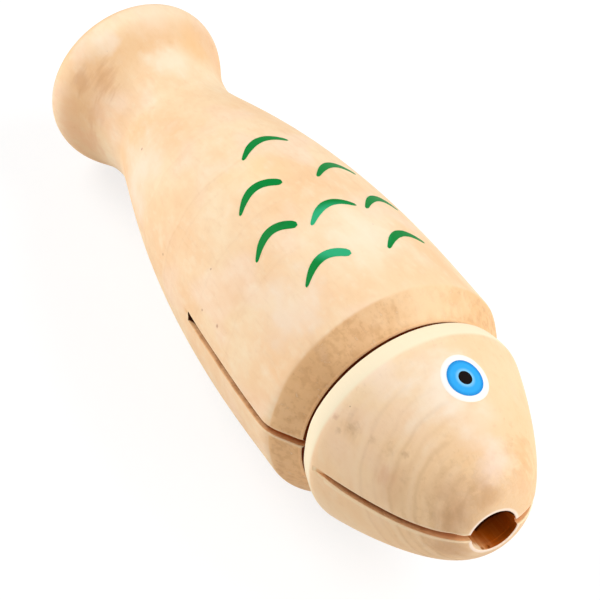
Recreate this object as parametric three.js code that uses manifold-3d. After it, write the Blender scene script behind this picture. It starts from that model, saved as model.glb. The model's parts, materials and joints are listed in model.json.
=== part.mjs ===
import * as THREE from 'three';
import { mergeVertices } from 'three/addons/utils/BufferGeometryUtils.js';
import Module from 'manifold-3d';

// Fish-shaped slit block of turned wood, in millimetres: a hollow body with its tail, and a head
// whose spigot is glued into the body's chamber. The fish is turned about X, tail end at 0, and
// then laid down on its belly and tail rim.

// Lengths along the axis, each measured from the end of the one before, 147 in all
const TAIL_RIM_LENGTH = 4.2;
const TAIL_FLARE_LENGTH = 19.8;
const SWELL_LENGTH = 73.3;
const BARREL_LENGTH = 10.8;
const SHOULDER_LENGTH = 5.9;
const SEAT_GAP = 0.3;
const CHEEK_LENGTH = 4.9;
const SNOUT_LENGTH = 27.8;

// Outside diameters
const TAIL_END_DIAMETER = 34.6;
const TAIL_RIM_DIAMETER = 38.7;
const NECK_DIAMETER = 28.2;
const BARREL_DIAMETER = 51;
const FRONT_FACE_DIAMETER = 42.9;

// How far the head's rear edge stands out past the front face, and the cheek past that edge
const HEAD_OVERHANG = 0.85;
const CHEEK_SWELL = 0.7;

// How slowly each curved run leaves its first radius and arrives at its second, as shares of the run
const FLARE_LEAVE = 0.27;
const FLARE_ARRIVE = 0.56;
const SWELL_LEAVE = 0.08;
const SWELL_ARRIVE = 0.63;
const SNOUT_EASE = 0.29;

// Slopes of the snout against the axis, at the cheek and where it rolls over into the mouth
const CHEEK_SLOPE = THREE.MathUtils.degToRad(18);
const NOSE_SLOPE = THREE.MathUtils.degToRad(77.5);
const CHEEK_ROUNDING = 1.4;
const REAR_EDGE_ROUNDING = 0.9;

// Chamber, mouth, spigot and the groove at the joint
const FRONT_WALL = 4.45;
const CHAMBER_DEPTH = 50;
const CHAMBER_CONE_DEPTH = 3;
const MOUTH_DIAMETER = 10;
const LIP_WIDTH = 0.7;
const SPIGOT_LENGTH = 9;
const SPIGOT_CLEARANCE = 0.3;
const JOINT_GROOVE_WIDTH = 0.7;
const JOINT_GROOVE_DEPTH = 2;

// Saw cuts along both sides
const BODY_SLIT_LENGTH = 35;
const BODY_SLIT_TIP_LENGTH = 4.3;
const BODY_SLIT_REAR_WIDTH = 1.1;
const BODY_SLIT_FRONT_WIDTH = 1.7;
const JAW_SLIT_LENGTH = 27;
const JAW_SLIT_WIDTH = 2;
const JAW_SLIT_BITE = 1.4;
const SAW_BLADE_RADIUS = 60;
const CUT_MARGIN = 1;

// Fineness of the facets
const SEGMENTS = 64;
const CURVE_STEPS = 12;
const EDGE_STEPS = 4;
const BLADE_SEGMENTS = 120;
const WELD = 1e-5;

const NECK_STATION = TAIL_RIM_LENGTH + TAIL_FLARE_LENGTH;
const BARREL_STATION = NECK_STATION + SWELL_LENGTH;
const SHOULDER_STATION = BARREL_STATION + BARREL_LENGTH;
const FRONT_FACE_STATION = SHOULDER_STATION + SHOULDER_LENGTH;
const SEAT_STATION = FRONT_FACE_STATION + SEAT_GAP;
const GROOVE_STATION = FRONT_FACE_STATION + JOINT_GROOVE_WIDTH;
const CHEEK_STATION = SEAT_STATION + CHEEK_LENGTH;
const MOUTH_STATION = CHEEK_STATION + SNOUT_LENGTH;

const FRONT_FACE_RADIUS = FRONT_FACE_DIAMETER / 2;
const CHAMBER_RADIUS = FRONT_FACE_RADIUS - FRONT_WALL;
const SPIGOT_RADIUS = CHAMBER_RADIUS - SPIGOT_CLEARANCE;
const HEAD_REAR_RADIUS = FRONT_FACE_RADIUS + HEAD_OVERHANG;
const CHEEK_RADIUS = HEAD_REAR_RADIUS + CHEEK_SWELL;
const MOUTH_RADIUS = MOUTH_DIAMETER / 2;

const wasm = await Module();
wasm.setup();

// A point of an outline, as radius against station
function at(radius, station) {
  return new THREE.Vector2(radius, station);
}

// A smooth run of an outline that is level with the axis at both ends
function levelCurve(from, to, leave, arrive) {
  const run = to.y - from.y;
  const first = at(from.x, from.y + leave * run);
  const second = at(to.x, to.y - arrive * run);
  return new THREE.CubicBezierCurve(from, first, second, to).getPoints(CURVE_STEPS);
}

// A small rounding from one point to another, drawn towards the corner between them
function rounded(from, corner, to) {
  return new THREE.QuadraticBezierCurve(from, corner, to).getPoints(EDGE_STEPS);
}

// Outside of the tail and body, from the tail end to the front face
function bodyOutline() {
  const tailEnd = at(TAIL_END_DIAMETER / 2, 0);
  const rim = at(TAIL_RIM_DIAMETER / 2, TAIL_RIM_LENGTH);
  const neck = at(NECK_DIAMETER / 2, NECK_STATION);
  const barrel = at(BARREL_DIAMETER / 2, BARREL_STATION);
  return [
    ...rounded(tailEnd, at(rim.x, 0), rim),
    ...levelCurve(rim, neck, FLARE_LEAVE, FLARE_ARRIVE),
    ...levelCurve(neck, barrel, SWELL_LEAVE, SWELL_ARRIVE),
    at(barrel.x, SHOULDER_STATION),
    at(FRONT_FACE_RADIUS, FRONT_FACE_STATION),
  ];
}

// Outside of the head, from its rear face round the cheek and down the snout to the mouth's lip
function headOutline() {
  const cheek = at(CHEEK_RADIUS, CHEEK_STATION);
  const lip = at(MOUTH_RADIUS + LIP_WIDTH, MOUTH_STATION);
  const downSnout = at(-Math.sin(CHEEK_SLOPE), Math.cos(CHEEK_SLOPE));
  const upNose = at(Math.sin(NOSE_SLOPE), -Math.cos(NOSE_SLOPE));
  const snoutStart = cheek.clone().addScaledVector(downSnout, CHEEK_ROUNDING);
  const ease = SNOUT_EASE * SNOUT_LENGTH;
  const snout = new THREE.CubicBezierCurve(
    snoutStart,
    cheek.clone().addScaledVector(downSnout, ease),
    lip.clone().addScaledVector(upNose, ease),
    lip,
  );
  return [
    ...rounded(
      at(HEAD_REAR_RADIUS - REAR_EDGE_ROUNDING, GROOVE_STATION),
      at(HEAD_REAR_RADIUS, GROOVE_STATION),
      at(HEAD_REAR_RADIUS, GROOVE_STATION + REAR_EDGE_ROUNDING),
    ),
    ...rounded(at(cheek.x, cheek.y - CHEEK_ROUNDING), cheek, snoutStart),
    ...snout.getPoints(CURVE_STEPS),
  ];
}

// Revolves an outline about the fish's axis, with a flat facet on top, below and at each side
function turned(outline) {
  const geometry = new THREE.LatheGeometry(outline, SEGMENTS, Math.PI / SEGMENTS);
  return geometry.rotateZ(-Math.PI / 2);
}

// Welds a closed geometry's shared corners and hands it over for cutting
function toSolid(geometry) {
  geometry.deleteAttribute('normal');
  geometry.deleteAttribute('uv');
  const merged = mergeVertices(geometry, WELD);
  const corners = merged.index.array;
  const triangles = [];
  for (let i = 0; i < corners.length; i += 3) {
    const [a, b, c] = corners.slice(i, i + 3);
    if (a !== b && b !== c && c !== a) {
      triangles.push(a, b, c);
    }
  }
  const mesh = new wasm.Mesh({
    numProp: 3,
    vertProperties: merged.attributes.position.array,
    triVerts: Uint32Array.from(triangles),
  });
  return new wasm.Manifold(mesh);
}

function toGeometry(solid) {
  const mesh = solid.getMesh();
  const geometry = new THREE.BufferGeometry();
  geometry.setAttribute('position', new THREE.BufferAttribute(mesh.vertProperties, mesh.numProp));
  geometry.setIndex(new THREE.BufferAttribute(mesh.triVerts, 1));
  return geometry;
}

// The body's saw cut as seen from the side: a kerf that widens towards the front face and ends
// in a point, pushed straight across the fish so that it opens both walls of the chamber
function bodyKerf() {
  const ahead = FRONT_FACE_STATION + CUT_MARGIN;
  const rear = FRONT_FACE_STATION - BODY_SLIT_LENGTH;
  const widening = (BODY_SLIT_FRONT_WIDTH - BODY_SLIT_REAR_WIDTH) / BODY_SLIT_LENGTH;
  const frontHalf = (BODY_SLIT_REAR_WIDTH + widening * (ahead - rear)) / 2;
  const rearHalf = BODY_SLIT_REAR_WIDTH / 2;
  const side = new THREE.Shape();
  side.moveTo(rear - BODY_SLIT_TIP_LENGTH, 0);
  side.lineTo(rear, -rearHalf);
  side.lineTo(ahead, -frontHalf);
  side.lineTo(ahead, frontHalf);
  side.lineTo(rear, rearHalf);
  side.closePath();
  const across = BARREL_DIAMETER + 2 * CUT_MARGIN;
  const geometry = new THREE.ExtrudeGeometry(side, { depth: across, bevelEnabled: false });
  geometry.rotateX(Math.PI / 2);
  return toSolid(geometry.translate(0, across / 2, 0));
}

// One plunge of the round saw blade into a side of the head. Its rim passes through the place
// where the slit runs out on the cheek, and a little inside the wall of the mouth at the lip.
function jawKerf(side) {
  const runOut = new THREE.Vector2(MOUTH_STATION - JAW_SLIT_LENGTH, CHEEK_RADIUS);
  const bite = new THREE.Vector2(MOUTH_STATION, MOUTH_RADIUS - JAW_SLIT_BITE);
  const chord = bite.clone().sub(runOut);
  const reach = Math.sqrt(SAW_BLADE_RADIUS ** 2 - (chord.length() / 2) ** 2);
  const outward = new THREE.Vector2(-chord.y, chord.x).normalize();
  const hub = runOut.clone().addScaledVector(chord, 0.5).addScaledVector(outward, reach);
  const blade = new THREE.CylinderGeometry(
    SAW_BLADE_RADIUS, SAW_BLADE_RADIUS, JAW_SLIT_WIDTH, BLADE_SEGMENTS,
  );
  blade.rotateX(Math.PI / 2);
  return toSolid(blade.translate(hub.x, side * hub.y, 0));
}

function makeBody() {
  const floor = FRONT_FACE_STATION - CHAMBER_DEPTH;
  const turnedBody = toSolid(turned([
    at(0, 0),
    ...bodyOutline(),
    at(CHAMBER_RADIUS, FRONT_FACE_STATION),
    at(CHAMBER_RADIUS, floor),
    at(0, floor - CHAMBER_CONE_DEPTH),
  ]));
  return toGeometry(turnedBody.subtract(bodyKerf()));
}

function makeHead() {
  const grooveFloor = FRONT_FACE_RADIUS - JOINT_GROOVE_DEPTH;
  const spigotEnd = SEAT_STATION - SPIGOT_LENGTH;
  const turnedHead = toSolid(turned([
    at(MOUTH_RADIUS, spigotEnd),
    at(SPIGOT_RADIUS, spigotEnd),
    at(SPIGOT_RADIUS, SEAT_STATION),
    at(grooveFloor, SEAT_STATION),
    at(grooveFloor, GROOVE_STATION),
    ...headOutline(),
    at(MOUTH_RADIUS, MOUTH_STATION),
    at(MOUTH_RADIUS, spigotEnd),
  ]));
  return toGeometry(turnedHead.subtract(jawKerf(1)).subtract(jawKerf(-1)));
}

// The angle at which the fish lies: the line that touches both the tail rim and the belly
function restAngle() {
  const outline = bodyOutline();
  const flat = Math.cos(Math.PI / SEGMENTS);
  const tail = outline.filter((point) => point.y <= NECK_STATION);
  const belly = outline.filter((point) => point.y > NECK_STATION);
  const steepest = tail.map((a) => Math.max(
    ...belly.map((b) => Math.atan2((b.x - a.x) * flat, b.y - a.y)),
  ));
  return Math.min(...steepest);
}

function addPiece(group, name, geometry, color) {
  const material = new THREE.MeshStandardMaterial({ color, roughness: 0.6, metalness: 0 });
  const mesh = new THREE.Mesh(geometry, material);
  mesh.name = name;
  group.add(mesh);
}

const fish = new THREE.Group();
addPiece(fish, 'body', makeBody(), '#f2d0a4');
addPiece(fish, 'head', makeHead(), '#eecba2');

// Laid on its belly and tail rim, mouth a little up, with the middle of its base at the origin
fish.rotation.y = -restAngle();
const box = new THREE.Box3().setFromObject(fish, true);
fish.position.set(-(box.min.x + box.max.x) / 2, 0, -box.min.z);

const slitBlock = new THREE.Group();
slitBlock.add(fish);

export default slitBlock;
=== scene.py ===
import json
import math

import bmesh
import bpy
import numpy as np
from mathutils import Matrix, Vector
from mathutils.geometry import interpolate_bezier


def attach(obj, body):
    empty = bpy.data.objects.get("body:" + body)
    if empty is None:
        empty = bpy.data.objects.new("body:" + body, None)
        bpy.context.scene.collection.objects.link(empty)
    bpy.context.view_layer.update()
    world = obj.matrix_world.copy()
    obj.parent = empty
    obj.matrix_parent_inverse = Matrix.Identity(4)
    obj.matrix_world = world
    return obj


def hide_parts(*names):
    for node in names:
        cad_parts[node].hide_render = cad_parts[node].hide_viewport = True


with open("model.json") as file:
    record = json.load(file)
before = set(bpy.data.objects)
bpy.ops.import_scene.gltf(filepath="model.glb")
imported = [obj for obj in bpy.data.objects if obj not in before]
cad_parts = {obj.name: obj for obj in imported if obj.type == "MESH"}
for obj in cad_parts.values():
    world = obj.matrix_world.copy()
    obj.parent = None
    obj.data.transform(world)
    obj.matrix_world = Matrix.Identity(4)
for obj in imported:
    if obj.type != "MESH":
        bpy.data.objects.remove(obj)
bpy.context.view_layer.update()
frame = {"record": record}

# Fish-shaped slit block of turned, unvarnished wood. Sizes are in millimetres, in the fish's own
# frame: X runs from the tail end to the mouth, the saw cuts face -Y and Y, and Z is a flank.
MM = 0.001

# Stations along the axis
TAIL_RIM = 4.2
NECK = 24.0
BARREL = 97.3
SHOULDER = 108.1
FRONT_FACE = 114.0
SEAT = 114.3
GROOVE = 114.9
CHEEK = 119.2
MOUTH = 147.0
CHAMBER_FLOOR = 64.0
CHAMBER_CONE_TIP = 61.0
SPIGOT_END = 105.3

# Radii
TAIL_END_RADIUS = 17.3
TAIL_RIM_RADIUS = 19.35
NECK_RADIUS = 14.1
BARREL_RADIUS = 25.5
FRONT_FACE_RADIUS = 21.45
GROOVE_FLOOR_RADIUS = 19.45
HEAD_REAR_RADIUS = 22.3
CHEEK_RADIUS = 23.0
MOUTH_RADIUS = 5.0
LIP_RADIUS = 5.45
CHAMBER_RADIUS = 17.0
SPIGOT_RADIUS = 16.7

# How far a curve runs level at each end, as a share of its length
FLARE_LEVEL = (0.27, 0.56)
SWELL_LEVEL = (0.08, 0.63)
SNOUT_LEVEL = 0.29
SNOUT_FALL = math.radians(18)
NOSE_RISE = math.radians(77.5)

# The tail rim's curve leaves and arrives by these points: a station, and how far its radius falls
# short of the rim's
RIM_CURVE = ((0.9, 0.7), (2.2, 0.0))

# Roundings left by the sanding
RIM_ROUNDING = 0.5
SHOULDER_ROUNDING = 0.5
FACE_ROUNDING = 0.3
REAR_EDGE_ROUNDING = 1.1
CHEEK_ROUNDING = 1.4
LIP_ROUNDING = 0.2
INNER_ROUNDING = 0.4

# Handwork on the outside, past a radius of BODY_SKIN and HEAD_SKIN. The shoulder is eased over
# SHOULDER_EASE to either side where the share of the radius that points across lies past BESIDE_CUT.
BODY_SKIN = CHAMBER_RADIUS + 2
HEAD_SKIN = FRONT_FACE_RADIUS - 0.5
SHOULDER_EASE = 2.0
BESIDE_CUT = (0.86, 0.99)
# The head's rear edge is sanded down at SANDED_SIDE, in degrees round the axis from Z. It is full
# within the first of SANDED_REACH and gone past the second, and fades past the cheek.
SANDED_DEPTH = 0.7
SANDED_SIDE = -106.0
SANDED_REACH = (14, 42)
SANDED_FADE = 2.0
# The drill ran off the axis at the bore's upper side. The drift is full up to DRIFT_EDGE past the
# lip, gone at DRIFT_FADE, and comes in between the two heights of DRIFT_SIDE.
BORE_DRIFT = Vector((0, -0.64, -0.37))
DRIFT_EDGE = 0.3
DRIFT_FADE = 3.5
DRIFT_SIDE = (-1.5, 1.5)

# The body's saw cut and the jaw's
KERF_TIP = 74.7
KERF_WIDTH = 1.65
# The body's cut begins like an arrowhead: distance from its tip, and share of the full width
KERF_STEPS = ((0, 0.03), (0.12, 0.25), (0.3, 0.45), (0.36, 1.0))
# Where its sections stand past that: first and last station, and how many
KERF_RUNS = ((KERF_TIP + 0.8, SHOULDER - 2.5, 24), (SHOULDER - 2, SHOULDER + 2, 17),
             (SHOULDER + 2.5, FRONT_FACE, 6))
# The saw wandered: height of a cut's middle at its rear, and its climbs between two stations
KERF_WANDER = (0.2, ((86, 104, -0.6), (104, 114, 0.3)))
JAW_WANDER = (-0.43, ((136, 149, 0.62),))
JAW_WIDTH = 1.55
# Where the jaw's cut runs out on the cheek, how soon it is full, and its depth and width there as
# shares of the full ones
JAW_RUN_OUT = 120.0
JAW_FADE = 8.0
JAW_FIRST_DEPTH = 0.45
JAW_FIRST_WIDTH = 0.55
# It widens upwards before the mouth, and its bite into the bore differs from side to side
JAW_WIDENING = 0.4
WIDENING_RUN = 4.0
JAW_BITES = {-1: 0.7, 1: 0.3}
BLADE_RADIUS = 60.0
EASED_EDGE = 0.2
JAW_EASED_EDGE = 0.35
EASED_SHARE = 1 / 3
CUT_MARGIN = 1.5

# Chips that the drill tore out of the bore's wall just inside the mouth: station, angle, radius.
# Their middles lie a little inside the wall.
MOUTH_CHIPS = ((146.5, -160, 0.32), (146.35, -176, 0.38))
CHIP_INSET = 0.15

# How finely the shapes are drawn, and how near two points are before they are one
TURNS = 192
CURVE_POINTS = 40
RIM_POINTS = 12
EDGE_POINTS = 5
BARREL_END_POINTS = 6
CHAMFER_POINTS = 10
JAW_SECTIONS = 80
SLOPE_STEP = 0.2
WELD = 0.001
SHARP_WOOD = math.radians(32)
SHARP_FILM = math.radians(40)


# Outlines

def curve(start, leaving, arriving, end, points):
    """Points of a Bezier run in the plane of the axis"""
    knots = [Vector((s, 0, r)) for s, r in (start, leaving, arriving, end)]
    return [(p.x, p.z) for p in interpolate_bezier(*knots, points)]


def level_curve(start, end, leave, arrive):
    """A run that is level with the axis at both ends"""
    run = end[0] - start[0]
    return curve(start, (start[0] + leave * run, start[1]),
                 (end[0] - arrive * run, end[1]), end, CURVE_POINTS)


def rounded(before, corner, after, radius):
    """A corner between two straight runs, eased by the sanding"""
    c = Vector(corner)
    start = c + (Vector(before) - c).normalized() * radius
    end = c + (Vector(after) - c).normalized() * radius
    return curve(start, start.lerp(c, 2 / 3), end.lerp(c, 2 / 3), end, EDGE_POINTS)


def straight(start, end, points):
    """Points between two corners, without the corners"""
    shares = np.linspace(0, 1, points + 2)[1:-1]
    return [tuple(Vector(start).lerp(Vector(end), share)) for share in shares]


def body_outline():
    """Outside of the tail and body, from the tail end to the front face"""
    tail_end = (0, TAIL_END_RADIUS)
    rim = (TAIL_RIM, TAIL_RIM_RADIUS)
    leaving, arriving = ((station, TAIL_RIM_RADIUS - short) for station, short in RIM_CURVE)
    rim_side = curve(tail_end, leaving, arriving, rim, RIM_POINTS)
    neck = (NECK, NECK_RADIUS)
    barrel = (BARREL, BARREL_RADIUS)
    barrel_end = (SHOULDER - 2 * SHOULDER_EASE, BARREL_RADIUS)
    before_shoulder = (SHOULDER - SHOULDER_ROUNDING, BARREL_RADIUS)
    shoulder = (SHOULDER, BARREL_RADIUS)
    face = (FRONT_FACE, FRONT_FACE_RADIUS)
    return [
        *rounded((0, 0), tail_end, rim_side[3], RIM_ROUNDING),
        *rim_side[2:-1],
        *level_curve(rim, neck, *FLARE_LEVEL)[:-1],
        *level_curve(neck, barrel, *SWELL_LEVEL),
        *straight(barrel_end, before_shoulder, BARREL_END_POINTS),
        *rounded(barrel, shoulder, face, SHOULDER_ROUNDING),
        *straight(shoulder, face, CHAMFER_POINTS)[1:-1],
        *rounded(shoulder, face, (FRONT_FACE, 0), FACE_ROUNDING),
    ]


def head_outline():
    """Outside of the head, from the joint's groove round the cheek to the mouth's lip"""
    rear = (GROOVE, HEAD_REAR_RADIUS)
    cheek = Vector((CHEEK, CHEEK_RADIUS))
    lip = Vector((MOUTH, LIP_RADIUS))
    down_snout = Vector((math.cos(SNOUT_FALL), -math.sin(SNOUT_FALL)))
    up_nose = Vector((-math.cos(NOSE_RISE), math.sin(NOSE_RISE)))
    ease = SNOUT_LEVEL * (MOUTH - CHEEK)
    snout = curve(cheek + down_snout * CHEEK_ROUNDING, cheek + down_snout * ease,
                  lip + up_nose * ease, lip, CURVE_POINTS)
    return [
        *rounded((GROOVE, 0), rear, cheek, REAR_EDGE_ROUNDING),
        *rounded(rear, cheek, snout[1], CHEEK_ROUNDING)[:-1],
        *snout[:-1],
        *rounded(snout[-3], lip, (MOUTH, 0), LIP_ROUNDING),
    ]


BODY = body_outline()
HEAD = head_outline()


def radius_at(outline, station):
    """Radius of the turned surface at a station"""
    return float(np.interp(station, *zip(*outline)))


def depth_below(outline, place):
    """How far a point lies under the turned surface, square to it"""
    before, after = (radius_at(outline, place.x + step) for step in (-SLOPE_STEP, SLOPE_STEP))
    depth = radius_at(outline, place.x) - math.hypot(place.y, place.z)
    return max(depth, 0) * math.cos(math.atan2(after - before, 2 * SLOPE_STEP))


def smooth(value, start, end):
    """0 before the start, 1 past the end, and a soft step between them"""
    share = min(max((value - start) / (end - start), 0), 1)
    return share * share * (3 - 2 * share)


def cut_height(wander, station):
    """Height of a saw cut's middle at one station"""
    rear, climbs = wander
    return rear + sum(rise * smooth(station, start, end) for start, end, rise in climbs)


def sanded_body(place):
    """Where a point of the body ends up once the shoulder is eased beside the saw cuts"""
    radius = math.hypot(place.y, place.z)
    along = place.x - SHOULDER
    if abs(along) > SHOULDER_EASE or radius < BODY_SKIN:
        return place
    # The barrel's level run and the chamfer's slope are joined by a parabola
    slope = (BARREL_RADIUS - FRONT_FACE_RADIUS) / (FRONT_FACE - SHOULDER)
    drop = slope * ((along + SHOULDER_EASE) ** 2 / (4 * SHOULDER_EASE) - max(along, 0))
    share = 1 - drop * smooth(abs(place.y) / radius, *BESIDE_CUT) / radius
    return Vector((place.x, place.y * share, place.z * share))


def sanded_head(place):
    """Where a point of the head ends up once its rear edge is sanded down to the body's front
    face below the saw cut, so that the joint's groove shows there too"""
    radius = math.hypot(place.y, place.z)
    if place.x > CHEEK + SANDED_FADE or radius < HEAD_SKIN:
        return place
    off_side = abs(math.degrees(math.atan2(place.y, place.z)) - SANDED_SIDE)
    drop = SANDED_DEPTH * (1 - smooth(off_side, *SANDED_REACH))
    share = 1 - drop * (1 - smooth(place.x, GROOVE, CHEEK + SANDED_FADE)) / radius
    return Vector((place.x, place.y * share, place.z * share))


def drilled_head(place):
    """Where a point of the head ends up once the drill has run off at the bore's upper side"""
    radius = math.hypot(place.y, place.z)
    near = smooth(radius, LIP_RADIUS + DRIFT_FADE, LIP_RADIUS + DRIFT_EDGE)
    return place + BORE_DRIFT * near * smooth(place.z, *DRIFT_SIDE)


def worked_head(place):
    """Where a point of the head ends up once all of its handwork is done"""
    return drilled_head(sanded_head(place))


# Turning and cutting

def turned(bm, outline):
    """Revolves an outline about the axis, like a blank on the lathe"""
    verts = [bm.verts.new((s, 0, r)) for s, r in outline]
    edges = [bm.edges.new(pair) for pair in zip(verts, verts[1:])]
    bmesh.ops.spin(bm, geom=verts + edges, cent=(0, 0, 0), axis=(1, 0, 0), dvec=(0, 0, 0),
                   angle=2 * math.pi, steps=TURNS, use_merge=True, use_duplicate=False)
    bmesh.ops.remove_doubles(bm, verts=bm.verts, dist=WELD)
    bmesh.ops.recalc_face_normals(bm, faces=bm.faces)


def swept(bm, sections):
    """Joins closed sections one after the other and caps both ends"""
    rings = []
    for section in sections:
        verts = [bm.verts.new(point) for point in section]
        rings.append([bm.edges.new((verts[i - 1], verts[i])) for i in range(len(verts))])
    for before, after in zip(rings, rings[1:]):
        bmesh.ops.bridge_loops(bm, edges=before + after)
    bmesh.ops.holes_fill(bm, edges=[e for e in bm.edges if e.is_boundary], sides=len(sections[0]))
    bmesh.ops.recalc_face_normals(bm, faces=bm.faces)


def kerf_section(station, up, down):
    """Saw cut across both walls at one station, with eased edges where it meets the surface"""
    radius = radius_at(BODY, station)
    deep, high = radius - EASED_EDGE, radius + CUT_MARGIN
    flare = EASED_EDGE + CUT_MARGIN
    return [(station, y, z) for y, z in (
        (high, up + flare), (deep, up), (-deep, up), (-high, up + flare),
        (-high, down - flare), (-deep, down), (deep, down), (high, down - flare))]


def body_kerf(bm):
    """The body's cut. It begins as a thin split along its upper edge and then steps down to
    its full width, like an arrowhead."""
    steps = [(KERF_TIP + step, share) for step, share in KERF_STEPS]
    steps += [(station, 1.0) for run in KERF_RUNS for station in np.linspace(*run)]
    sections = []
    for station, share in [*steps, (FRONT_FACE + CUT_MARGIN, 1.0)]:
        up = cut_height(KERF_WANDER, station) + KERF_WIDTH / 2
        sections.append(kerf_section(station, up, up - KERF_WIDTH * share))
    swept(bm, sections)


def jaw_kerf(bm, side):
    """One plunge of the round blade. Its rim fades out on the cheek and bites into the mouth."""
    run_out = Vector((JAW_RUN_OUT, radius_at(HEAD, JAW_RUN_OUT)))
    bite = Vector((MOUTH, MOUTH_RADIUS - JAW_BITES[side]))
    chord = bite - run_out
    outward = Vector((-chord.y, chord.x)).normalized()
    hub = run_out + chord / 2 + outward * math.sqrt(BLADE_RADIUS ** 2 - (chord.length / 2) ** 2)
    sections = []
    for s in np.linspace(JAW_RUN_OUT - 1, MOUTH + CUT_MARGIN, JAW_SECTIONS):
        radius = radius_at(HEAD, s)
        fade = smooth(s, JAW_RUN_OUT, JAW_RUN_OUT + JAW_FADE)
        depth = radius - hub.y + math.sqrt(BLADE_RADIUS ** 2 - (min(s, MOUTH) - hub.x) ** 2)
        depth_share = JAW_FIRST_DEPTH + (1 - JAW_FIRST_DEPTH) * fade
        width_share = JAW_FIRST_WIDTH + (1 - JAW_FIRST_WIDTH) * fade
        # Where the blade runs above the wood, the section stays outside it
        floor = radius - depth * depth_share if depth > 0 else radius + 1
        ease = min(max(depth * EASED_SHARE, 0), JAW_EASED_EDGE)
        deep, high = max(radius - ease, floor + 0.01), radius + CUT_MARGIN
        up = cut_height(JAW_WANDER, s) + JAW_WIDTH / 2
        down = up - JAW_WIDTH * width_share
        up += JAW_WIDENING * smooth(s, MOUTH - WIDENING_RUN, MOUTH)
        flare = ease + CUT_MARGIN
        sections.append([(s, side * y, z) for y, z in (
            (high, up + flare), (deep, up), (floor, up),
            (floor, down), (deep, down), (high, down - flare))])
    swept(bm, sections)


def chip_place(station, degrees):
    """Middle of a chip in the bore's wall"""
    turn = Matrix.Rotation(math.radians(-degrees), 3, "X")
    return turn @ Vector((station, 0, MOUTH_RADIUS - CHIP_INSET))


def mouth_chips(bm):
    """The volumes of the chips that are missing inside the mouth"""
    for station, degrees, radius in MOUTH_CHIPS:
        bmesh.ops.create_icosphere(bm, subdivisions=2, radius=radius,
                                   matrix=Matrix.Translation(chip_place(station, degrees)))


def to_mesh(bm, name, material_index=0):
    """Makes a mesh of what was drawn, with one material slot for all of its faces"""
    for face in bm.faces:
        face.material_index = material_index
    mesh = bpy.data.meshes.new(name)
    bm.to_mesh(mesh)
    bm.free()
    return mesh


def new_piece(name, mesh, materials):
    """Puts a mesh in the scene as a piece of its own"""
    piece = bpy.data.objects.new(name, mesh)
    bpy.context.scene.collection.objects.link(piece)
    for material in materials:
        piece.data.materials.append(material)
    return piece


def cut_away(piece, bm, material_index):
    """Takes a cutter's volume out of a piece. The cut faces get their own material."""
    cutter = new_piece("cutter", to_mesh(bm, "cutter", material_index), [])
    cut = piece.modifiers.new("cut", "BOOLEAN")
    cut.operation = "DIFFERENCE"
    cut.solver = "EXACT"
    cut.object = cutter
    cut.material_mode = "INDEX"
    graph = bpy.context.evaluated_depsgraph_get()
    mesh = bpy.data.meshes.new_from_object(piece.evaluated_get(graph))
    piece.modifiers.clear()
    piece.data = mesh
    bpy.data.objects.remove(cutter)


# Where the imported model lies: the tail end's flat face carries the fish's axis
tail_face = next(m for m in frame["record"]["mounts"] if m["name"] == "tail_end_face")
AXIS = -Vector(tail_face["axis"]).normalized()
SIDE = Vector((0, 1, 0))
TAIL_END = Vector(tail_face["pos_m"])
LAID = Matrix((AXIS, SIDE, AXIS.cross(SIDE))).transposed().to_4x4()
LAID.translation = TAIL_END
PLACE = LAID @ Matrix.Scale(MM, 4)


# Materials

def linear(hex_colour):
    """sRGB hex to the linear colour that a shader works in"""
    values = [int(hex_colour[i:i + 2], 16) / 255 for i in (1, 3, 5)]
    return (*[v / 12.92 if v <= 0.04045 else ((v + 0.055) / 1.055) ** 2.4 for v in values], 1)


def add_node(tree, kind, inputs=None, **settings):
    """Adds a node, sets its properties, and sets or links its inputs"""
    node = tree.nodes.new(kind)
    for name, value in settings.items():
        setattr(node, name, value)
    for socket, value in (inputs or {}).items():
        if isinstance(value, bpy.types.NodeSocket):
            tree.links.new(value, node.inputs[socket])
        else:
            node.inputs[socket].default_value = value
    return node


def new_material(name):
    """An empty material and its node tree"""
    material = bpy.data.materials.new(name)
    material.use_nodes = True
    material.node_tree.nodes.clear()
    return material, material.node_tree


def fish_coordinates(tree):
    """Millimetres in the fish's own frame"""
    place = add_node(tree, "ShaderNodeTexCoord").outputs["Object"]
    return add_node(tree, "ShaderNodeMapping", {
        "Vector": place, "Location": TAIL_END, "Rotation": LAID.to_euler(), "Scale": (MM, MM, MM),
    }, vector_type="TEXTURE").outputs[0]


def beside_cut(tree, fish, rear, wander):
    """How far in mm a point lies above or below the middle of a saw cut, and past any tone of
    the cut behind its rear end"""
    station, _, height = add_node(tree, "ShaderNodeSeparateXYZ", {0: fish}).outputs
    middle, climbs = wander
    for start, end, rise in climbs:
        climb = add_node(tree, "ShaderNodeMapRange", {
            "Value": station, "From Min": start, "From Max": end, "To Max": rise,
        }, interpolation_type="SMOOTHSTEP").outputs[0]
        middle = add_node(tree, "ShaderNodeMath", {0: climb, 1: middle}, operation="ADD").outputs[0]
    off = add_node(tree, "ShaderNodeMath", {0: height, 1: middle}, operation="SUBTRACT").outputs[0]
    distance = add_node(tree, "ShaderNodeMath", {0: off}, operation="ABSOLUTE").outputs[0]
    behind = add_node(tree, "ShaderNodeMapRange", {
        "Value": station, "From Min": rear - 1, "From Max": rear, "To Min": PAST_TONES,
        "To Max": 0.0}).outputs[0]
    return add_node(tree, "ShaderNodeMath", {0: distance, 1: behind}, operation="ADD").outputs[0]


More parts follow.
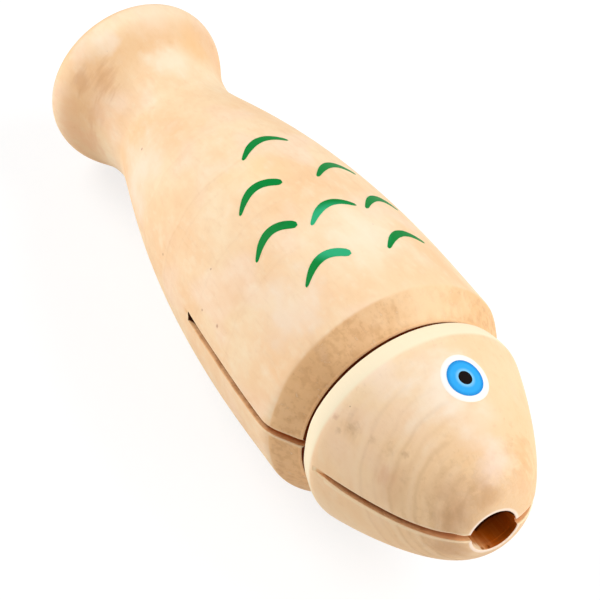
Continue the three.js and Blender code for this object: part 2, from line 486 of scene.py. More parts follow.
def stretched_noise(tree, coordinates, lengths, detail, roughness=0.5):
    """Cloudy pattern whose blots have the given lengths in mm along, across and through"""
    place = add_node(tree, "ShaderNodeMapping", {
        "Vector": coordinates, "Scale": [1 / length for length in lengths]}).outputs[0]
    return add_node(tree, "ShaderNodeTexNoise", {
        "Vector": place, "Scale": 1.0, "Detail": detail, "Roughness": roughness}).outputs[0]


def layered(tree, tone, layers):
    """Lays tones over one another. A tone's share rises from none, where its pattern is at the
    start, to the full share at the end. Sockets 6 and 7 of a Mix node are its two colours."""
    for pattern, start, end, share, colour in layers:
        cover = add_node(tree, "ShaderNodeMapRange", {
            "Value": pattern, "From Min": start, "From Max": end, "To Max": share,
        }, interpolation_type="SMOOTHSTEP").outputs[0]
        tone = add_node(tree, "ShaderNodeMix", {0: cover, 6: tone, 7: linear(colour)},
                        data_type="RGBA").outputs[2]
    return tone


def finished(tree, tone, relief, depth, roughness, specular):
    """The shader of a dull wooden surface, with its relief in metres"""
    bump = add_node(tree, "ShaderNodeBump", {
        "Height": relief, "Strength": 1.0, "Distance": depth}).outputs[0]
    shader = add_node(tree, "ShaderNodeBsdfPrincipled", {
        "Base Color": tone, "Roughness": roughness, "IOR": 1.5,
        "Specular IOR Level": specular, "Normal": bump})
    add_node(tree, "ShaderNodeOutputMaterial", {"Surface": shader.outputs[0]})


def ring_layers(tree, fish, leaning, blush, rings, tones):
    """Growth rings, each a faint line with a darker side and a paler one. They wander, break off
    with the blush and fade near the flank's ridge."""
    grown = add_node(tree, "ShaderNodeSeparateXYZ", {0: leaning}).outputs[0]
    across = add_node(tree, "ShaderNodeSeparateXYZ", {0: fish}).outputs[1]
    wander = stretched_noise(tree, fish, (14, 7, 7), 2.0)
    ring_place = add_node(tree, "ShaderNodeMath", {0: wander, 1: RING_WANDER, 2: grown},
                          operation="MULTIPLY_ADD").outputs[0]
    from_bare = add_node(tree, "ShaderNodeMath", {0: across, 1: RING_BARE},
                         operation="SUBTRACT").outputs[0]
    to_side = add_node(tree, "ShaderNodeMath", {0: from_bare}, operation="ABSOLUTE").outputs[0]
    broken = add_node(tree, "ShaderNodeMath", {0: blush, 1: RING_BREAKS, 2: to_side},
                      operation="MULTIPLY_ADD").outputs[0]
    first, full = (RING_BREAKS / 2 + side for side in RING_SIDES)
    faded = add_node(tree, "ShaderNodeMapRange", {
        "Value": broken, "From Min": first, "From Max": full, "To Min": RING_FADE,
        "To Max": 0.0}).outputs[0]
    layers = []
    for place, strength in rings:
        for offset, reach, share, shade in RING_TONES:
            off = add_node(tree, "ShaderNodeMath", {0: ring_place, 1: place + offset},
                           operation="SUBTRACT").outputs[0]
            away = add_node(tree, "ShaderNodeMath", {0: off}, operation="ABSOLUTE").outputs[0]
            distance = add_node(tree, "ShaderNodeMath", {0: away, 1: faded}, operation="ADD").outputs[0]
            layers.append((distance, reach, 0.0, share * strength, tones[shade]))
    return layers


def turned_wood(name, tones, lean, blots, rings, grain, tearing, cut, patches, specks, bands):
    """Limewood, turned and sanded, with no varnish: cream, peach and rosy clouds, short fibres,
    growth rings that cross the axis at a lean as faint darker lines, a browner, torn look where
    the surface cuts across the fibres, with a painted highlight and painted shade on its raised
    fibres, and a highlight painted along the saw cut's edges. Real fibres are finer
    than a fifth of a millimetre across, so they and the grit are drawn coarse enough to show."""
    material, tree = new_material(name)
    fish = fish_coordinates(tree)
    leaning = add_node(tree, "ShaderNodeMapping", {
        "Vector": fish, "Rotation": [math.radians(turn) for turn in lean]}).outputs[0]
    clouds = stretched_noise(tree, fish, (22, 13, 13), 2.0)
    blush = stretched_noise(tree, fish, (13, 10, 10), 1.0)
    blotches = stretched_noise(tree, leaning, blots, 3.0)
    mottle = stretched_noise(tree, leaning, [length * 0.45 for length in blots], 3.0)
    fibres = stretched_noise(tree, fish, (5, 0.8, 0.8), 3.0, 0.6)
    streaks = stretched_noise(tree, leaning, (1.0, 4.5, 4.5), 3.0)
    grit = stretched_noise(tree, fish, (1.3, 1.0, 1.0), 2.0, 0.6)
    flecks = add_node(tree, "ShaderNodeTexVoronoi", {"Vector": fish, "Scale": 0.12}).outputs[0]
    cut_ends = add_node(tree, "ShaderNodeAttribute", attribute_name="end_grain").outputs["Fac"]
    torn = add_node(tree, "ShaderNodeMath", {0: cut_ends, 1: grit}, operation="MULTIPLY").outputs[0]
    worn_and_lit = add_node(tree, "ShaderNodeMath", {0: cut_ends, 1: mottle}, operation="MULTIPLY").outputs[0]
    station = add_node(tree, "ShaderNodeSeparateXYZ", {0: fish}).outputs[0]
    cut_rear, cut_wander, cut_edge, edge_highlight_share = cut
    from_cut = beside_cut(tree, fish, cut_rear, cut_wander)

    layers = [
        (clouds, 0.32, 0.68, 1.0, tones["peach"]),
        (blush, 0.5, 0.68, 0.7, tones["blush"]),
        (blotches, 0.45, 0.8, 0.32, tones["blotch"]),
        (blotches, 0.5, 0.2, 0.4, tones["light"]),
        (mottle, 0.5, 0.75, 0.24, tones["blotch"]),
        (mottle, 0.48, 0.25, 0.24, tones["light"]),
        (fibres, 0.5, 0.8, 0.09, tones["fibre"]),
        (grit, 0.6, 0.78, grain, tones["fibre"]),
        (cut_ends, 0.12, 0.62, 0.85, tones["end_grain"]),
        (worn_and_lit, 0.27, 0.36, tearing, tones["fibre"]),
        # Torn flecks: darker torn wood, whose pale middles are a painted highlight on the raised fibres
        # and whose dark rims are partly their painted shadow
        (torn, 0.3, 0.38, tearing, tones["fibre"]),
        (torn, 0.37, 0.41, tearing, tones["light"]),
        (flecks, 0.03, 0.018, 0.4, tones["speck"]),
        # Painted highlight along the edges of the saw cut
        (from_cut, cut_edge + 0.5, cut_edge - 0.1, edge_highlight_share, "#ffe7c5"),
        *ring_layers(tree, fish, leaning, blush, rings, tones),
    ]
    for place, radius, share, colour in patches:
        distance = add_node(tree, "ShaderNodeVectorMath", {0: fish, 1: place},
                            operation="DISTANCE").outputs["Value"]
        if radius > BIG_PATCH:
            edge, fray = blotches, 1.6
        elif radius > SMALL_PATCH:
            edge, fray = streaks, 2.2
        else:
            edge, fray = grit, 1.8
        ragged = add_node(tree, "ShaderNodeMath", {0: edge, 1: -fray * radius, 2: distance},
                          operation="MULTIPLY_ADD").outputs[0]
        layers.append((ragged, (1 - fray / 2) * radius, -fray / 2 * radius, share, colour))
    for place, radius in specks:
        distance = add_node(tree, "ShaderNodeVectorMath", {0: fish, 1: place},
                            operation="DISTANCE").outputs["Value"]
        layers.append((distance, radius * 1.6, radius * 0.3, 0.6, tones["speck"]))
    layers += [(station, *band) for band in bands]
    tone = layered(tree, linear(tones["cream"]), layers)

    roughness = add_node(tree, "ShaderNodeMapRange", {
        "Value": fibres, "From Min": 0.3, "From Max": 0.7, "To Min": 0.58, "To Max": 0.72}).outputs[0]
    finished(tree, tone, fibres, SANDED_RELIEF, roughness, WOOD_GLOSS)
    return material


def sawn_wood():
    """Limewood left by the saw: a furry tan wall that the blade has scorched. Painted shade makes it
    dark brown further in and black at the cut's end, where the blade halted, and a painted
    highlight makes its eased edges pale."""
    material, tree = new_material("sawn_limewood")
    fish = fish_coordinates(tree)
    station = add_node(tree, "ShaderNodeSeparateXYZ", {0: fish}).outputs[0]
    depth = add_node(tree, "ShaderNodeAttribute", attribute_name="depth").outputs["Fac"]
    strokes = stretched_noise(tree, fish, (0.5, 2.5, 2.5), 3.0)
    blotches = stretched_noise(tree, fish, (2.2, 1.2, 1.2), 3.0)
    cut_end_shade = add_node(tree, "ShaderNodeMath", {0: depth, 1: -BLADE_STOP_SLOPE, 2: station},
                       operation="MULTIPLY_ADD").outputs[0]
    edge_highlight_offset = add_node(tree, "ShaderNodeMapRange", {
        "Value": station, "From Min": SHOULDER - 4, "From Max": SHOULDER, "To Min": EDGE_HIGHLIGHT_NARROWER,
        "To Max": 0.0}).outputs[0]
    edge_highlight_depth = add_node(tree, "ShaderNodeMath", {0: depth, 1: edge_highlight_offset},
                          operation="ADD").outputs[0]
    past_scorch = add_node(tree, "ShaderNodeMath", {0: station, 1: SCORCHED},
                           operation="SUBTRACT").outputs[0]
    off_scorch = add_node(tree, "ShaderNodeMath", {0: past_scorch}, operation="ABSOLUTE").outputs[0]
    tone = layered(tree, linear("#ffd3a2"), [
        (blotches, 0.45, 0.7, 0.6, "#e2a26c"),
        (strokes, 0.45, 0.75, 0.35, "#cf9058"),
        # Painted shade: darker deeper in the cut
        (depth, 0.5, 1.6, 0.85, "#ac602c"),
        (blotches, 0.5, 0.6, 0.2, "#8a4e28"),
        (off_scorch, 6.5, 3.5, 0.6, "#d87c3c"),
        (station, MOUTH - 9, MOUTH - 4, 0.55, "#eeb07c"),
        # Painted highlight: paler near the surface and palest on the eased edges
        (edge_highlight_depth, 1.4, 0.7, 0.5, "#f2bc84"),
        (edge_highlight_depth, 0.4, 0.2, 0.9, "#ffe4bc"),
        # Painted shade at the cut's end: black where the blade halted
        (cut_end_shade, KERF_TIP + 0.7, KERF_TIP - 0.1, 0.97, "#481606"),
    ])
    finished(tree, tone, strokes, TORN_RELIEF, 0.85, SAWN_GLOSS)
    return material


def bored_wood():
    """Limewood that a blunt drill has scorched: a warm dark brown with streaks along the fibres.
    Further in, past a slanted line, it is painted black as the near rim's shadow, and a pool of light
    is painted pale on the wall at one side of the mouth."""
    material, tree = new_material("bored_limewood")
    fish = fish_coordinates(tree)
    streaks = stretched_noise(tree, fish, (9, 0.8, 0.8), 3.0, 0.6)
    rings = stretched_noise(tree, fish, (0.6, 9, 9), 2.0)
    distance = add_node(tree, "ShaderNodeVectorMath", {0: fish, 1: LIT_PATCH_PLACE},
                        operation="DISTANCE").outputs["Value"]
    worn_and_lit = add_node(tree, "ShaderNodeMath", {0: streaks, 1: -LIT_PATCH_FRAY, 2: distance},
                    operation="MULTIPLY_ADD").outputs[0]
    rim_shadow_slant = add_node(tree, "ShaderNodeVectorMath", {0: fish, 1: RIM_SHADOW_SLANT},
                        operation="DOT_PRODUCT").outputs["Value"]
    across = add_node(tree, "ShaderNodeSeparateXYZ", {0: fish}).outputs[1]
    shadow_free_side = add_node(tree, "ShaderNodeMapRange", {
        "Value": across, "From Min": -0.2, "From Max": -1.4, "To Max": 3.0}).outputs[0]
    rim_shadow = add_node(tree, "ShaderNodeMath", {0: rim_shadow_slant, 1: shadow_free_side}, operation="ADD").outputs[0]
    layers = [
        (streaks, 0.42, 0.75, 0.35, "#d07834"),
        (rings, 0.5, 0.75, 0.3, "#7e3406"),
        # Painted pool of light on the bore's wall at one side of the mouth
        (worn_and_lit, 4.0, -0.8, 0.75, "#e4a468"),
        (worn_and_lit, 0.8, -0.6, 0.9, "#fbdcb4"),
        # Painted shadow of the near rim: black past a slanted line inside the mouth, but not on the saw
        # cut's side
        (rim_shadow, MOUTH + 0.6, MOUTH + 0.1, 0.85, "#340e04"),
    ]
    for station, degrees, radius in MOUTH_CHIPS:
        distance = add_node(tree, "ShaderNodeVectorMath", {
            0: fish, 1: chip_place(station, degrees)}, operation="DISTANCE").outputs["Value"]
        layers.append((distance, radius + 0.2, radius - 0.05, 0.7, "#a85c1c"))
    tone = layered(tree, linear("#bc5608"), layers)
    finished(tree, tone, rings, DRILLED_RELIEF, 0.9, SAWN_GLOSS)
    return material


def groove_shade_wood():
    """Limewood painted dark as the shade in the joint's groove, which shows as one dark line"""
    material, tree = new_material("groove_shaded_limewood")
    fish = fish_coordinates(tree)
    dabs = stretched_noise(tree, fish, (1.5, 4, 4), 3.0)
    tone = layered(tree, linear("#66280e"), [(dabs, 0.5, 0.75, 0.7, "#8a4a22")])
    finished(tree, tone, dabs, TORN_RELIEF, 0.8, SAWN_GLOSS)
    return material


def paint(name, colour, streak, layers=()):
    """Pad-printed gloss ink: a full, even colour that covers the wood, a little uneven where
    the pad let go. Each further tone goes by the distance from a point of the film, in mm."""
    material, tree = new_material(name)
    fish = fish_coordinates(tree)
    uneven = stretched_noise(tree, fish, (1.2, 1.2, 1.2), 3.0)
    centred = add_node(tree, "ShaderNodeAttribute", attribute_name="from_centre").outputs["Fac"]
    tone = layered(tree, linear(colour), [
        (uneven, 0.5, 0.8, 0.5, streak),
        *[(centred, *layer) for layer in layers]])
    shader = add_node(tree, "ShaderNodeBsdfPrincipled", {
        "Base Color": tone, "Roughness": 0.35, "IOR": 1.5, "Specular IOR Level": INK_GLOSS})
    add_node(tree, "ShaderNodeOutputMaterial", {"Surface": shader.outputs[0]})
    return material


# Across a growth ring: a line, a darker side and a paler one, each with its offset and reach in
# mm and its share. The rings wander by RING_WANDER, half of which is their mean shift. RING_BARE
# is the place across that has none. They begin to show at the first of RING_SIDES in mm from it
# and are full at the second, give or take RING_BREAKS for the blush. RING_FADE hides a ring.
RING_TONES = ((0, 0.55, 0.17, "fibre"), (0.9, 1.2, 0.16, "blotch"), (-0.9, 0.8, 0.24, "light"))
RING_WANDER = 2.4
RING_BREAKS = 24.0
RING_BARE = 5.0
RING_SIDES = (7, 12)
RING_FADE = 1.5
# How glossy the finishes are, and how deep their relief goes, in metres
WOOD_GLOSS = 0.2
SAWN_GLOSS = 0.03
INK_GLOSS = 0.03
SANDED_RELIEF = 0.00005
DRILLED_RELIEF = 0.0001
TORN_RELIEF = 0.0002
# A distance in mm past any tone of a saw cut
PAST_TONES = 3.0
# Patches above BIG_PATCH in reach fray along the blots, those above SMALL_PATCH along the streaks,
# and spots along the grit
BIG_PATCH = 5.0
SMALL_PATCH = 1.6
# How far forward the blade halted for each mm of depth, which slants the painted shade at the
# cut's end, how much narrower the cut's painted edge highlight is behind the shoulder, and the
# station round which the walls are scorched most
BLADE_STOP_SLOPE = 1.9
EDGE_HIGHLIGHT_NARROWER = 0.3
SCORCHED = FRONT_FACE - 2
# The side of the mouth where a pool of light is painted, how far its edge frays, and the slant of the
# line past which the bore is painted black as the near rim's shadow
LIT_PATCH_PLACE = (147.0, -3.4, -3.8)
LIT_PATCH_FRAY = 3.0
RIM_SHADOW_SLANT = (1, 0.6, -1.03)
# Slots of the two wooden pieces past the first, which is their turned surface
SAWN = 1
BORED = 2
GROOVE_SHADE_SLOT = 3

# A turned wood's marks in mm, some of them painted highlights: patches as a middle, a reach, a
# share and a colour, specks as a middle and a radius, rings as a place along the leaning axis and a
# strength, bands as the stations where they start and are full, a share and a colour, and the saw
# cut along whose edges a highlight is painted
body_wood = turned_wood("turned_limewood", {
    "cream": "#fde1ba", "peach": "#fad0a2", "blush": "#fedec0", "blotch": "#f0c598",
    "light": "#ffecd0", "fibre": "#c48a5a", "end_grain": "#ebb982", "speck": "#a8644a"},
    lean=(0, 8, 0), blots=(5, 3.5, 3.5), grain=0.06, tearing=0.25,
    rings=[(38.2, 0.22), (49.6, 0.22), (62.6, 0.4), (66.4, 0.2), (79.0, 0.25), (91.5, 0.25)],
    cut=(KERF_TIP, KERF_WANDER, KERF_WIDTH / 2 + EASED_EDGE, 0.3),
    # The first patch, pale on the flank's ridge at station 92, is a painted highlight
    patches=[((92.0, 1.0, 25.4), 15.0, 0.7, "#fff0d4"), ((99.0, -17.0, 19.0), 11.0, 0.5, "#ffecd8"),
             ((101.0, -24.6, 5.0), 9.0, 0.5, "#f6c592"), ((83.0, -22.5, 11.0), 8.0, 0.35, "#f8ca9a"),
             ((63.0, -6.0, 22.5), 9.0, 0.4, "#fddfa8"), ((57.0, -17.5, 13.5), 9.0, 0.3, "#fad0a0"),
             ((38.0, -16.0, 6.0), 13.0, 0.5, "#ffeeda"), ((17.0, 0.5, 14.8), 7.0, 0.6, "#fff3da"),
             ((6.3, -10.5, 15.6), 6.0, 0.5, "#fff0dc"), ((111.0, 5.0, 23.5), 15.0, 0.7, "#ffddb2"),
             ((110.5, -18.0, 16.0), 7.0, 0.25, "#c08e5e"),
             ((12.9, -12.3, 10.2), 4.6, 0.4, "#d2986c"), ((9.0, -15.5, 8.5), 3.6, 0.36, "#d2986c"),
             ((14.5, -15.0, 3.0), 4.4, 0.3, "#dea274"), ((6.5, 2.0, 18.8), 9.5, 0.5, "#ffe6ca"),
             ((14.0, -15.0, -4.0), 5.0, 0.35, "#eab084"), ((8.0, -17.5, -3.0), 9.0, 0.4, "#f4bc92"),
             ((18.0, -14.0, 4.0), 5.5, 0.45, "#fccb98"), ((12.6, 8.6, 14.4), 6.5, 0.55, "#f9c890")],
    specks=[((34.1, -14.4, 8.4), 0.28), ((59.8, -22.4, 3.2), 0.25), ((79.4, -24.3, 5.4), 0.22),
            ((85.5, -24.4, 6.4), 0.35), ((76.3, -21.4, 12.3), 0.22)],
    # The band is a painted highlight along the chamfer's front edge, beside the groove
    bands=[(FRONT_FACE - 0.6, FRONT_FACE - 0.3, 0.45, "#ffcf9c")])
head_wood = turned_wood("turned_limewood_head", {
    "cream": "#fee0b8", "peach": "#fcd4a8", "blush": "#ffdfc4", "blotch": "#f1c190",
    "light": "#ffe8ca", "fibre": "#ae7a4e", "end_grain": "#f2cb9c", "speck": "#8a6048"},
    lean=(0, 20, 3), blots=(3.0, 5.5, 5.5), grain=0.14, tearing=0.1,
    rings=[(125.4, 0.5), (127.8, 0.3), (130.4, 0.8), (132.4, 0.3), (134.3, 0.8), (136.6, 0.3),
           (138.4, 0.6), (140.4, 0.4)],
    cut=(JAW_RUN_OUT + 3, JAW_WANDER, JAW_WIDTH / 2 + JAW_EASED_EDGE, 0.5),
    # The first patch, pale on the head's ridge at station 127, is a painted highlight
    patches=[((127.0, -3.0, 20.0), 11.0, 0.65, "#fff3e0"), ((121.5, -11.0, 19.5), 7.0, 0.5, "#ffe8d4"),
             ((142.0, 0.6, 12.0), 6.5, 0.6, "#ffe4d2"), ((141.0, 8.0, 10.0), 4.5, 0.5, "#e6b07a"),
             ((144.5, -6.5, 7.5), 8.0, 0.5, "#d0a076"), ((145.8, -2.5, 8.3), 3.6, 0.5, "#cc9a6c"),
             ((144.4, -8.6, 4.8), 4.0, 0.35, "#bd8a60"), ((145.4, -8.6, -2.6), 6.0, 0.6, "#cb9a70"),
             ((135.0, -15.5, 6.0), 7.0, 0.35, "#dbab7c"), ((138.6, -3.5, 14.0), 4.0, 0.3, "#f2bf88"),
             ((145.0, 6.0, 7.6), 4.0, 0.45, "#e6b488"), ((134.5, 0.5, 16.5), 9.0, 0.3, "#fff0dc"),
             ((123.4, -18.1, 11.8), 3.4, 0.18, "#b48458"), ((123.9, -17.7, 11.8), 1.6, 0.28, "#a4744a"),
             ((127.9, -16.0, 11.7), 1.1, 0.22, "#a06c46"), ((133.4, -12.8, 11.8), 1.1, 0.28, "#a06c46"),
             ((131.1, -14.5, 11.5), 1.5, 0.18, "#a8764c"), ((122.0, -19.6, 10.1), 0.9, 0.2, "#a06c46"),
             ((120.3, -19.3, 11.7), 0.9, 0.3, "#b86c4c"), ((135.5, -13.4, 8.0), 1.5, 0.16, "#a87850"),
             ((133.0, -15.5, 7.0), 2.4, 0.3, "#dc9e78")],
    specks=[((121.1, -17.2, 14.3), 0.12)],
    # The second band, on the mouth's lip, is a painted highlight
    bands=[(CHEEK + 0.6, CHEEK - 0.4, 1.0, "#feeecd"), (MOUTH - 0.1, MOUTH - 0.02, 0.9, "#fce4d0")])
saw_cut = sawn_wood()
drilled = bored_wood()
groove_shade = groove_shade_wood()
# The green ink's pale tone round its middle on the flank's ridge is a painted reflection of a lamp
green_paint = paint("printed_green_ink", "#08873a", "#0a6c33", [(9.6, 6.6, 0.85, "#38b884")])
white_paint = paint("printed_white_ink", "#fcfcfa", "#f4f6f6", [(4.3, 4.85, 0.6, "#ffeedc")])
blue_paint = paint("printed_blue_ink", "#37adf6", "#4ab8f9",
                   [(2.7, 3.6, 0.8, "#1c86d6"), (2.15, 1.45, 0.9, "#86cffb")])
black_paint = paint("printed_black_ink", "#150c0a", "#1e1310")


# Pieces

def lay_in_place(piece, outline, hidden_faces, handwork):
    """Gives the hidden faces their slots, each with a range of stations and one of radii. Notes
    how deep each point lies under the turned surface and how far it cuts across the fibres,
    moves it by the handwork, and lays the piece in its place."""
    bm = bmesh.new()
    bm.from_mesh(piece.data)
    for face in bm.faces:
        centre = face.calc_center_median()
        radius = math.hypot(centre.y, centre.z)
        for index, first, last, inner, outer in hidden_faces:
            if face.material_index == 0 and first < centre.x < last and inner < radius < outer:
                face.material_index = index
    bm.normal_update()
    end_grain = bm.verts.layers.float.new("end_grain")
    depth = bm.verts.layers.float.new("depth")
    for v in bm.verts:
        v[end_grain] = abs(v.normal.x)
        v[depth] = depth_below(outline, v.co)
        v.co = handwork(v.co)
    bmesh.ops.transform(bm, matrix=PLACE, verts=bm.verts)
    bm.to_mesh(piece.data)
    bm.free()
    piece.data.shade_smooth()
    piece.data.set_sharp_from_angle(angle=SHARP_WOOD)


def make_body():
    """The tail and body: turned, bored from the front and sawn in along both sides"""
    bm = bmesh.new()
    mouth = (FRONT_FACE, CHAMBER_RADIUS)
    floor = (CHAMBER_FLOOR, CHAMBER_RADIUS)
    turned(bm, [(0, 0), *BODY, *rounded((FRONT_FACE, FRONT_FACE_RADIUS), mouth, floor, INNER_ROUNDING),
                floor, (CHAMBER_CONE_TIP, 0)])
    body = new_piece("fish_body", to_mesh(bm, "fish_body"), [body_wood, saw_cut, drilled, groove_shade])
    bm = bmesh.new()
    body_kerf(bm)
    cut_away(body, bm, SAWN)
    lay_in_place(body, BODY, [
        (BORED, CHAMBER_CONE_TIP - 1, FRONT_FACE - 0.01, 0, CHAMBER_RADIUS + 0.3),
        (GROOVE_SHADE_SLOT, FRONT_FACE - 0.02, FRONT_FACE + 1, 0, FRONT_FACE_RADIUS - FACE_ROUNDING / 2),
    ], sanded_body)
    return body


def make_head():
    """The head with its spigot: turned, bored through, and sawn in along the jaw on both sides"""
    bm = bmesh.new()
    bore_front, bore_rear = (MOUTH, MOUTH_RADIUS), (SPIGOT_END, MOUTH_RADIUS)
    spigot_rear, spigot_root = (SPIGOT_END, SPIGOT_RADIUS), (SEAT, SPIGOT_RADIUS)
    turned(bm, [
        *HEAD,
        *rounded((MOUTH, LIP_RADIUS), bore_front, bore_rear, LIP_ROUNDING),
        bore_rear,
        *rounded(bore_rear, spigot_rear, spigot_root, INNER_ROUNDING),
        spigot_root,
        (SEAT, GROOVE_FLOOR_RADIUS),
        (GROOVE, GROOVE_FLOOR_RADIUS),
        HEAD[0],
    ])
    head = new_piece("fish_head", to_mesh(bm, "fish_head"), [head_wood, saw_cut, drilled, groove_shade])
    for side in (1, -1):
        bm = bmesh.new()
        jaw_kerf(bm, side)
        cut_away(head, bm, SAWN)
    bm = bmesh.new()
    mouth_chips(bm)
    cut_away(head, bm, BORED)
    lay_in_place(head, HEAD, [
        (BORED, SPIGOT_END, MOUTH - LIP_ROUNDING / 2, 0, MOUTH_RADIUS + 0.05),
        (GROOVE_SHADE_SLOT, SEAT - 0.1, GROOVE + 0.01, SPIGOT_RADIUS, HEAD_REAR_RADIUS - REAR_EDGE_ROUNDING),
    ], worked_head)
    return head


fish_body = make_body()
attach(fish_body, "root")
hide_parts("body")

fish_head = make_head()
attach(fish_head, "root")
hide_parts("head")


# Printed marks, the same on both flanks. Each mark is a thin film that follows the turned surface,
# from just under it to its own top.
FILM_BOTTOM = -0.06
MARK_TOP = 0.05
# A scale mark's rise, how far its highest point leans over, and its greatest width
MARK_SAG = 3.05
MARK_LEAN = 0.32
MARK_WIDTH = 1.95
MARK_GRID = (48, 4)
MARK_WELD = 0.01
# Station and place across round which a painted reflection of a lamp makes the green ink paler
INK_REFLECTION_CENTRE = (89, -1.2)
# Station and place across of a mark's middle, its length, its turn in degrees, and its shape
SCALE_MARKS = [
    (58.4, -0.4, 12.0, 12.0, "pointed"), (71.6, -9.2, 11.0, 10.5, "blunt"),
    (83.8, -12.9, 10.7, 8.6, "blunt"), (70.7, 9.1, 11.8, 11.7, "pointed"),
    (83.8, 0.0, 11.3, 10.2, "pointed"), (82.8, 12.6, 11.0, 12.1, "pointed"),
    (95.4, 9.8, 11.4, 13.2, "pointed"), (96.2, -8.6, 11.0, 8.9, "blunt"),
]
# Half width along a mark, by shares of its length and of its greatest half width
MARK_SHARES = (0, 0.015, 0.05, 0.12, 0.3, 0.5, 0.7, 0.85, 0.94, 0.985, 1)
MARK_HALVES = {
    "pointed": (0, 0.3, 0.44, 0.55, 0.84, 1.0, 0.95, 0.72, 0.54, 0.36, 0),
    "blunt": (0, 0.26, 0.38, 0.5, 0.78, 0.98, 1.08, 1.1, 1.02, 0.72, 0),
}
# The eye's middle, and the radius and top of each of its films
EYE_STATION = 127.7
EYE_ACROSS = 2.3
EYE_POINTS = 64
EYE_FILMS = {"white": (4.8, 0.04), "blue": (3.6, 0.08), "pupil": (1.34, 0.12)}


def lengths_along(outline):
    """Length of the turned surface from its rear end to each point of its outline"""
    steps = [math.dist(a, b) for a, b in zip(outline, outline[1:])]
    return np.concatenate(([0], np.cumsum(steps)))


BODY_LENGTHS = lengths_along(BODY)
HEAD_LENGTHS = lengths_along(HEAD)


def on_surface(outline, lengths, station, along, across, lift, flank):
    """The point at a distance along the surface and around it from a station on a flank's ridge"""
    stations, radii = map(np.array, zip(*outline))
    length = np.interp(station, stations, lengths) + along
    s, r = np.interp(length, lengths, stations), np.interp(length, lengths, radii)
    angle = across / r
    return Vector((s, (r + lift) * math.sin(angle), flank * (r + lift) * math.cos(angle)))


def mark_point(share, across_share, chord, shape):
    """A point of a scale mark in its own plane, by shares of its length and of its half width"""
    half = MARK_WIDTH / 2 * float(np.interp(share, MARK_SHARES, MARK_HALVES[shape]))
    lean = share + MARK_LEAN * share * (share - 1)
    point = Vector(((share - 0.5) * chord, MARK_SAG * 4 * lean * (1 - lean)))
    slope = 4 * MARK_SAG * (1 - 2 * lean) / chord
    return point + Vector((-slope, 1)).normalized() * across_share * half


def print_film(bm, top, outline, lengths, station, across, flank):
    """Turns a flat shape into a closed film on the turned surface"""
    for v in bm.verts:
        v.co.z = top
    made = bmesh.ops.extrude_face_region(bm, geom=list(bm.faces))
    for v in made["geom"]:
        if isinstance(v, bmesh.types.BMVert):
            v.co.z = FILM_BOTTOM
    for v in bm.verts:
        v.co = on_surface(outline, lengths, station, v.co.x, across + v.co.y, v.co.z, flank)
    bmesh.ops.recalc_face_normals(bm, faces=bm.faces)


def scale_marks(flank):
    """All the scale marks of one flank as one film"""
    whole = bmesh.new()
    for station, across, chord, turn, shape in SCALE_MARKS:
        bm = bmesh.new()
        bmesh.ops.create_grid(bm, x_segments=MARK_GRID[0], y_segments=MARK_GRID[1], size=1)
        for v in bm.verts:
            point = mark_point((v.co.x + 1) / 2, v.co.y, chord, shape)
            v.co = (-point.y, point.x, 0)
        bmesh.ops.rotate(bm, verts=bm.verts, matrix=Matrix.Rotation(math.radians(turn), 3, "Z"))
        bmesh.ops.remove_doubles(bm, verts=bm.verts, dist=MARK_WELD)
        print_film(bm, MARK_TOP, BODY, BODY_LENGTHS, station, across, flank)
        mark = to_mesh(bm, "mark")
        whole.from_mesh(mark)
        bpy.data.meshes.remove(mark)
    from_centre = whole.verts.layers.float.new("from_centre")
    for v in whole.verts:
        v[from_centre] = math.dist((v.co.x, v.co.y), INK_REFLECTION_CENTRE)
    return whole


def eye_disc(radius, top, flank):
    """One round film of the eye"""
    bm = bmesh.new()
    bmesh.ops.create_circle(bm, cap_ends=True, cap_tris=True, segments=EYE_POINTS, radius=radius)
    bmesh.ops.subdivide_edges(bm, edges=[e for e in bm.edges if not e.is_boundary], cuts=5,
                              use_grid_fill=True)
    from_centre = bm.verts.layers.float.new("from_centre")
    for v in bm.verts:
        v[from_centre] = v.co.length
    print_film(bm, top, HEAD, HEAD_LENGTHS, EYE_STATION, EYE_ACROSS, flank)
    return bm


def add_paint(name, bm, material):
    """Lays a film in place as a piece that rides on the fish"""
    bmesh.ops.transform(bm, matrix=PLACE, verts=bm.verts)
    piece = new_piece(name, to_mesh(bm, name), [material])
    piece.data.shade_smooth()
    piece.data.set_sharp_from_angle(angle=SHARP_FILM)
    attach(piece, "root")


for flank, word in ((1, "upper"), (-1, "lower")):
    add_paint(f"scale_marks_{word}", scale_marks(flank), green_paint)
    add_paint(f"eye_white_{word}", eye_disc(*EYE_FILMS["white"], flank), white_paint)
    add_paint(f"eye_blue_{word}", eye_disc(*EYE_FILMS["blue"], flank), blue_paint)
    add_paint(f"eye_pupil_{word}", eye_disc(*EYE_FILMS["pupil"], flank), black_paint)


# Floor, light and camera

def directly_seen(tree):
    """1 for what the camera sees directly, in a reflection or through glass"""
    path = add_node(tree, "ShaderNodeLightPath").outputs
    seen = add_node(tree, "ShaderNodeMath", {
        0: path["Is Camera Ray"], 1: path["Is Glossy Ray"]}, operation="MAXIMUM").outputs[0]
    return add_node(tree, "ShaderNodeMath", {
        0: seen, 1: path["Is Transmission Ray"]}, operation="MAXIMUM").outputs[0]


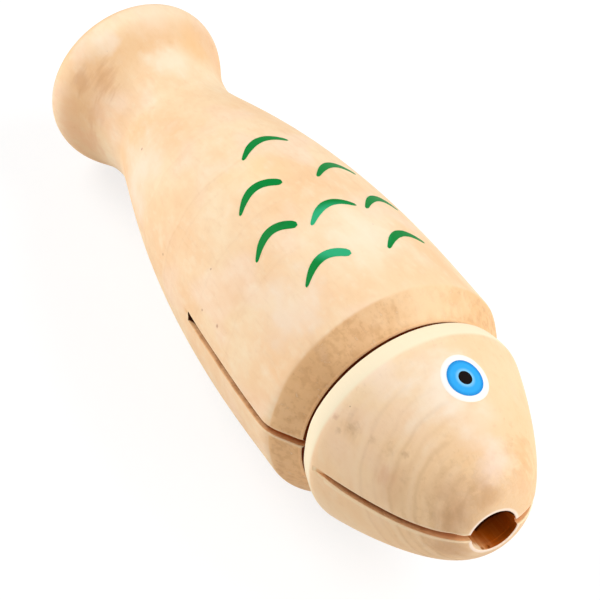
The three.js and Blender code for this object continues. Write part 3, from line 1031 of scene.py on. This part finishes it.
def make_floor():
    """A white card. Seen by the camera, most of its white is its own, so that the shadow on it
    stays faint, and far from the fish all of it is, so that no horizon shows."""
    bm = bmesh.new()
    bmesh.ops.create_grid(bm, x_segments=2, y_segments=2, size=CARD_REACH)
    material, tree = new_material("white_card_floor")
    seen = directly_seen(tree)
    place = add_node(tree, "ShaderNodeTexCoord").outputs["Object"]
    distance = add_node(tree, "ShaderNodeVectorMath", {0: place}, operation="LENGTH").outputs["Value"]
    own_white = add_node(tree, "ShaderNodeMapRange", {
        "Value": distance, "From Min": CARD_NEAR, "From Max": CARD_FAR, "To Min": CARD_WHITE,
        "To Max": 1.0}, interpolation_type="SMOOTHSTEP").outputs[0]
    grey = add_node(tree, "ShaderNodeMapRange", {
        "Value": distance, "From Min": CARD_NEAR, "From Max": CARD_FAR, "To Min": CARD_GREY,
        "To Max": 0.0}, interpolation_type="SMOOTHSTEP").outputs[0]
    card = add_node(tree, "ShaderNodeMix", {
        0: seen, 6: linear("#e7e7e7"), 7: grey}, data_type="RGBA").outputs[2]
    glow = add_node(tree, "ShaderNodeMath", {0: seen, 1: own_white}, operation="MULTIPLY").outputs[0]
    shader = add_node(tree, "ShaderNodeBsdfPrincipled", {
        "Base Color": card, "Roughness": 1.0, "Specular IOR Level": 0.0,
        "Emission Color": linear("#ffffff"), "Emission Strength": glow})
    add_node(tree, "ShaderNodeOutputMaterial", {"Surface": shader.outputs[0]})
    new_piece("floor", to_mesh(bm, "floor"), [material])


def make_world():
    """An even white room, dimmer for the fish than for the camera"""
    world = bpy.data.worlds.new("white_room")
    world.use_nodes = True
    tree = world.node_tree
    tree.nodes.clear()
    strength = add_node(tree, "ShaderNodeMapRange", {
        "Value": directly_seen(tree), "To Min": WORLD_LIGHT, "To Max": 1.0}).outputs[0]
    sky = add_node(tree, "ShaderNodeBackground", {"Color": linear("#ffffff"), "Strength": strength})
    add_node(tree, "ShaderNodeOutputWorld", {"Surface": sky.outputs[0]})
    bpy.context.scene.world = world


def add_lamp(name, direction, power):
    """A round soft lamp that looks at the fish from a direction"""
    data = bpy.data.lights.new(name, "AREA")
    data.shape = "DISK"
    data.size = LAMP_SIZE
    data.energy = power
    lamp = bpy.data.objects.new(name, data)
    bpy.context.scene.collection.objects.link(lamp)
    away = Vector(direction).normalized()
    lamp.location = away * LAMP_DISTANCE
    lamp.rotation_euler = away.to_track_quat("Z", "Y").to_euler()


def add_camera():
    """Looks down at the upper flank from in front of the mouth and a little to one side"""
    data = bpy.data.cameras.new("camera")
    data.sensor_width = FILM_WIDTH
    data.lens = LENS
    data.clip_start = NEAREST
    camera = bpy.data.objects.new("camera", data)
    bpy.context.scene.collection.objects.link(camera)
    turn = Matrix((CAMERA_RIGHT, CAMERA_UP, CAMERA_BACK)).transposed().to_4x4()
    turn.translation = Vector(CAMERA_PLACE) * MM
    camera.matrix_world = LAID @ turn
    bpy.context.scene.camera = camera


# The card reaches CARD_REACH metres to each side. Up to CARD_NEAR from the fish it has CARD_WHITE
# of its own light and CARD_GREY, which takes the shadow. From CARD_FAR on all of it is white.
CARD_REACH = 3
CARD_NEAR = 0.3
CARD_FAR = 0.8
CARD_WHITE = 0.76
CARD_GREY = 0.3
# The room's light on the fish, where the camera sees it at 1
WORLD_LIGHT = 0.31
# Width and distance of the lamps in metres, and their directions and power in watts
LAMP_SIZE = 0.5
LAMP_DISTANCE = 0.9
LAMPS = (
    ("right_softbox", (0.35, 0.6, 0.72), 3.7),
    ("left_softbox", (-0.55, -0.8, 0.15), 2.97),
    ("tail_softbox", (-0.66, -0.38, 0.64), 3.5),
    ("front_softbox", (0.85, 0.3, 0.42), 2.8),
)
# The camera's lens and film width in mm, its near limit in metres, and its place in mm and its
# three directions in the fish's frame
LENS = 142.81
FILM_WIDTH = 36
NEAREST = 0.01
CAMERA_PLACE = (367.16, -204.10, 307.83)
CAMERA_RIGHT = (0.49340, 0.86337, 0.10561)
CAMERA_UP = (-0.61418, 0.25983, 0.74517)
CAMERA_BACK = (0.61591, -0.43253, 0.65846)

make_floor()
make_world()
for name, direction, power in LAMPS:
    add_lamp(name, direction, power)
add_camera()
bpy.context.scene.view_settings.view_transform = "Standard"
